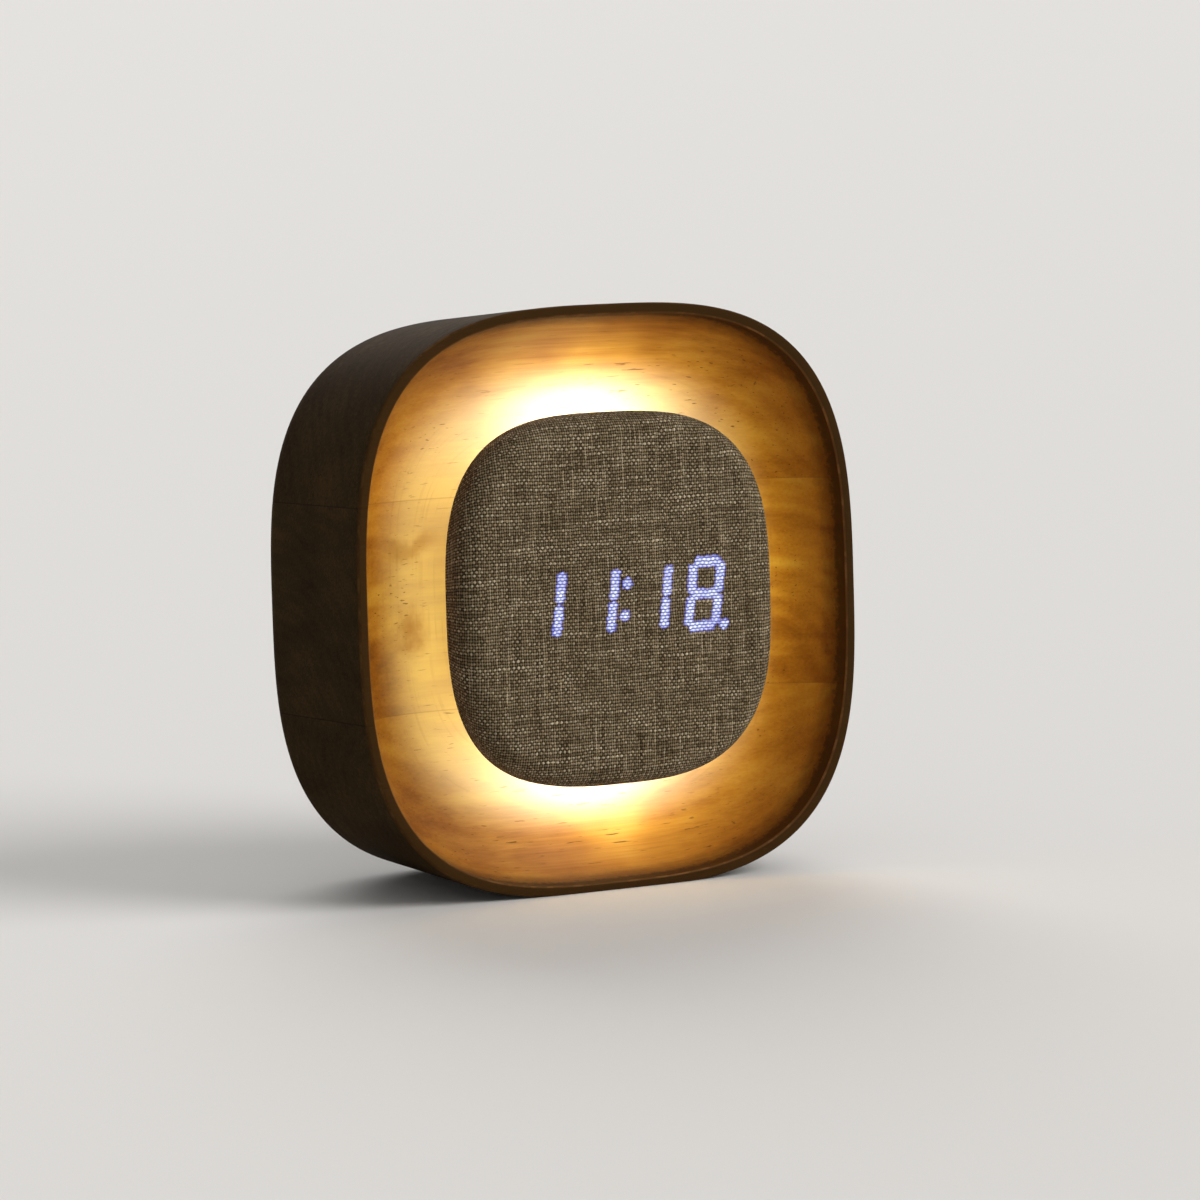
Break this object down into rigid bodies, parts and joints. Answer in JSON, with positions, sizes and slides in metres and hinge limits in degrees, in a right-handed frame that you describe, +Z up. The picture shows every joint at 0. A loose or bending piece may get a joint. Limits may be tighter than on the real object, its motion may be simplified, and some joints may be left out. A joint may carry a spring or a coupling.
{
  "type": "alarm clock",
  "caption": "Wooden alarm clock: a rounded-square dish, lit inside, with a cloth-covered pod that shows the time, and a rear cover with push buttons, sounder and charging socket.",
  "frame": {"origin": "middle of the clock's box at the table surface", "axes": "+Z up, the display faces -Y and leans back a little, +X is to the right of someone facing the display"},
  "size_m": [0.125, 0.0568, 0.1242],
  "materials": {
    "stained_wood": "dark stain outside and on the rim, natural wood inside the dish, satin",
    "cloth": "grey-brown mélange weave",
    "pod_plastic": "black moulded shell, fine texture",
    "display_bars": "milky lit bars",
    "display_block": "black reflector block",
    "circuit_board": "green solder mask",
    "lamp_board": "white solder mask",
    "lamp_chips": "yellow phosphor",
    "diffuser": "milky diffuser, lit warm",
    "screw_steel": "zinc plated",
    "cover_screw_steel": "black coated",
    "ribbon": "grey insulation",
    "header": "ivory nylon",
    "battery_wrap": "blue shrink wrap",
    "foam": "open foam pad",
    "lead": "red and black insulation",
    "component": "black epoxy",
    "switch": "black housing",
    "plunger": "pale nylon",
    "button": "satin black moulding",
    "socket_steel": "bright nickel",
    "socket_tongue": "black",
    "sounder_frame": "dark grey",
    "sounder_cone": "black treated paper",
    "grille": "black perforated disc",
    "cover_plastic": "dark brown fine-textured moulding"
  },
  "bodies": {
    "clock": {"wood_shell": "stained_wood", "cloth_cover": "cloth", "pod_front_shell": "pod_plastic", "display_bars": "display_bars", "display_block": "display_block", "display_board": "circuit_board", "lamp_board": "lamp_board", "lamp_chips": "lamp_chips", "light_diffuser": "diffuser", "pod_base": "pod_plastic", "pod_screws": "screw_steel", "pedestal_screws": "screw_steel", "ribbon_cable": "ribbon", "display_header": "header", "main_header": "header", "battery": "battery_wrap", "battery_pad": "foam", "battery_lead": "lead", "main_board": "circuit_board", "board_components": "component", "board_screws": "screw_steel", "switch_housings": "switch", "usb_shell": "socket_steel", "usb_tongue": "socket_tongue", "sounder": "sounder_frame", "sounder_cone": "sounder_cone", "sounder_grille": "grille", "sounder_lead": "lead", "rear_cover": "cover_plastic", "cover_screws": "cover_screw_steel"},
    "set_key": {"set_button": "button", "set_plunger": "plunger"},
    "minus_key": {"minus_button": "button", "minus_plunger": "plunger"},
    "plus_key": {"plus_button": "button", "plus_plunger": "plunger"},
    "light_key": {"light_button": "button", "light_plunger": "plunger"}
  },
  "joints": [
    {"name": "set_press", "type": "slide", "parent": "clock", "child": "set_key", "axis": [0, -0.998, 0.064], "range_m": [0, 0.0005], "stiffness_N_per_m": 600},
    {"name": "minus_press", "type": "slide", "parent": "clock", "child": "minus_key", "axis": [0, -0.998, 0.064], "range_m": [0, 0.0005], "stiffness_N_per_m": 600},
    {"name": "plus_press", "type": "slide", "parent": "clock", "child": "plus_key", "axis": [0, -0.998, 0.064], "range_m": [0, 0.0005], "stiffness_N_per_m": 600},
    {"name": "light_press", "type": "slide", "parent": "clock", "child": "light_key", "axis": [0, -0.998, 0.064], "range_m": [0, 0.0005], "stiffness_N_per_m": 600}
  ]
}
